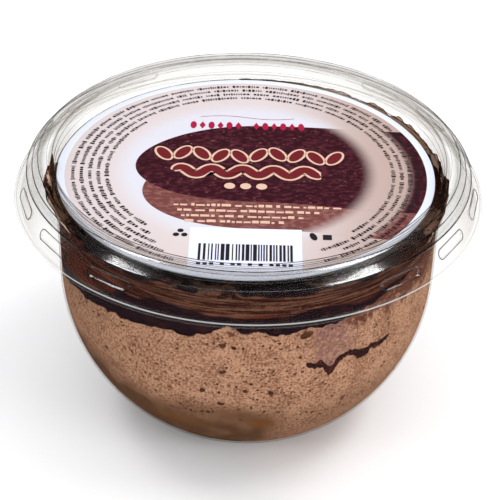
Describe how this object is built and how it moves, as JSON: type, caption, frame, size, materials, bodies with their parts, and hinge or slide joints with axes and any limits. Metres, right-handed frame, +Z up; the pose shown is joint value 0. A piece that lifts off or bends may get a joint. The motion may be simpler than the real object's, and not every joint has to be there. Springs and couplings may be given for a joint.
{
  "type": "clear lidded dessert cup of chocolate tiramisu",
  "caption": "Round clear plastic bowl with a press-on clear lid and round label, filled with pale chocolate mousse, a dark chocolate layer and soaked sponge.",
  "frame": {"origin": "centre of the foot ring's underside, on the surface that the cup stands on", "axes": "+Z up along the cup's round axis; -Y towards the front, the side of the label's bar field; +X to the right of the front"},
  "size_m": [0.095, 0.095, 0.0611],
  "materials": {
    "bowl_plastic": "thin clear glossy plastic",
    "lid_plastic": "thin clear glossy plastic",
    "label_print": "printed paper, pale lilac and pink round a dark maroon field",
    "mousse": "whipped chocolate mousse, soft and matt with small dark pits",
    "chocolate": "moist dark chocolate, half glossy",
    "sponge": "soaked cocoa sponge, matt and open"
  },
  "bodies": {
    "root": {"bowl": "bowl_plastic", "lid": "lid_plastic", "label": "label_print", "mousse": "mousse", "chocolate_layer": "chocolate", "sponge": "sponge"}
  },
  "joints": []
}
